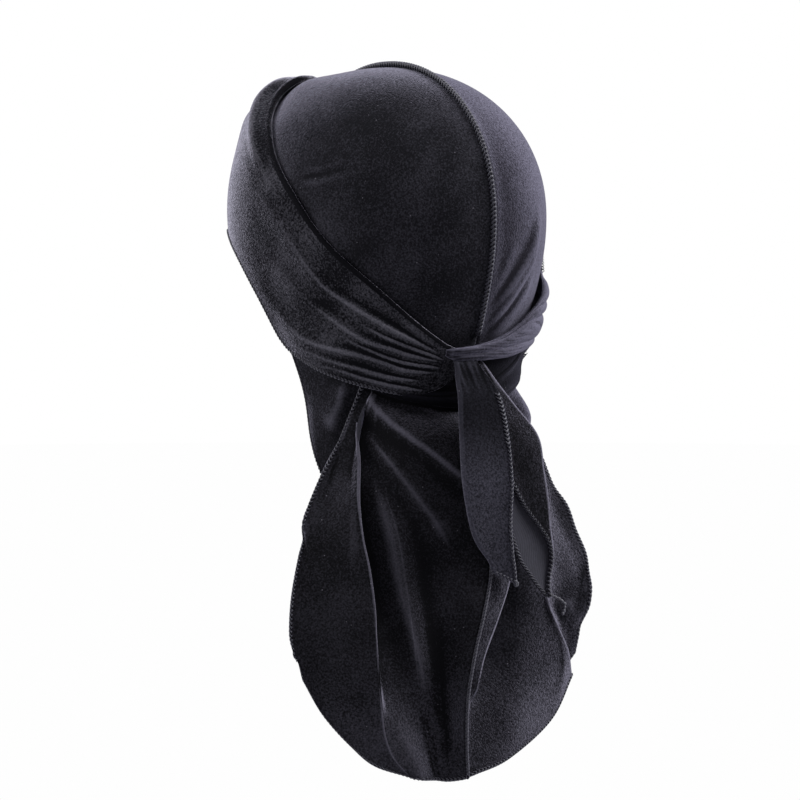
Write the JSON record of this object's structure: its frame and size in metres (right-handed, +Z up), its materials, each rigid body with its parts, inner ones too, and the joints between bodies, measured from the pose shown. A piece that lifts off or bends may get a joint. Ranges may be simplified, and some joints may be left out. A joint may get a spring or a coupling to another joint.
{
  "type": "durag",
  "caption": "Velvet durag in its worn shape: close crown, wide ties crossed and knotted at the nape, two hanging tie ends and a long two-panel cape.",
  "frame": {"origin": "middle of the head at its widest level, the line a hat size is measured on, half way between the sides; the wearer's head comes up into the crown here", "axes": "+Z up, the wearer faces -Y, +X is the wearer's left"},
  "size_m": [0.1838, 0.2085, 0.3659],
  "materials": {
    "velvet_crown": "black stretch velvet, short pile",
    "velvet_tie": "black stretch velvet, short pile, knit back",
    "velvet_cape": "black stretch velvet, short pile",
    "overlock_thread": "black polyester overlock thread"
  },
  "bodies": {
    "root": {"crown_left": "velvet_crown", "crown_right": "velvet_crown", "crown_seam": "overlock_thread", "tie_left": "velvet_tie", "tie_right": "velvet_tie", "nape_wrap": "velvet_tie", "knot": "velvet_tie", "cape_left": "velvet_cape", "cape_right": "velvet_cape", "cape_seam": "overlock_thread", "tie_end_front": "velvet_tie", "tie_end_behind": "velvet_tie"}
  },
  "joints": []
}
